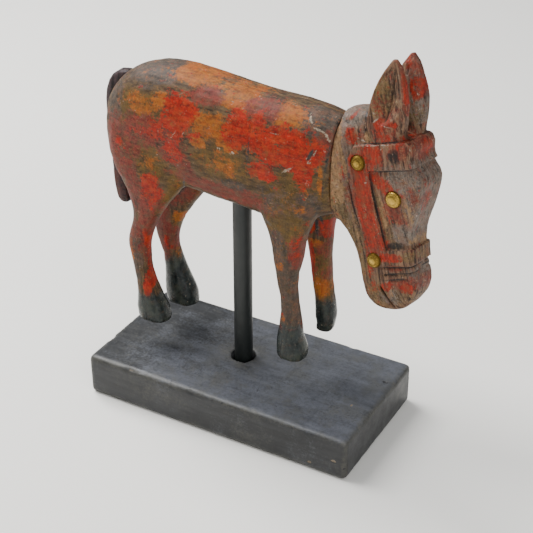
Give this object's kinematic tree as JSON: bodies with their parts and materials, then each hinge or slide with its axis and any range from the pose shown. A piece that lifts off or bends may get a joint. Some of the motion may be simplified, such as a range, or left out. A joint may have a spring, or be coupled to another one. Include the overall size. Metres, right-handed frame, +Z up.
{
  "type": "carved wooden horse on stand",
  "caption": "Hand-carved, worn painted wooden horse with a lowered, bridled head and brass stud eyes, held over a black block plinth by an upright rod.",
  "frame": {"origin": "centre of the plinth's underside", "axes": "+X along the plinth the way the horse looks, +Y to the horse's left, +Z up"},
  "size_m": [0.2368, 0.101, 0.2721],
  "materials": {
    "black_painted_wood": "worn black paint, satin, edges rubbed paler",
    "dark_painted_steel": "dark green-black paint, satin",
    "worn_red_paint": "layers of red, ochre and grey-brown paint worn into each other, satin",
    "worn_brown_paint": "grey-brown and rust-red paint worn into each other, satin",
    "dark_stained_wood": "dark purple-brown stain, satin",
    "aged_brass": "tarnished, domed, dark round the rim"
  },
  "bodies": {
    "root": {"plinth": "black_painted_wood", "support_rod": "dark_painted_steel", "horse_body": "worn_red_paint", "horse_head": "worn_brown_paint", "horse_tail": "dark_stained_wood", "brow_stud_right": "aged_brass", "eye_stud_right": "aged_brass", "nose_stud_right": "aged_brass", "brow_stud_left": "aged_brass", "eye_stud_left": "aged_brass", "nose_stud_left": "aged_brass"}
  },
  "joints": []
}
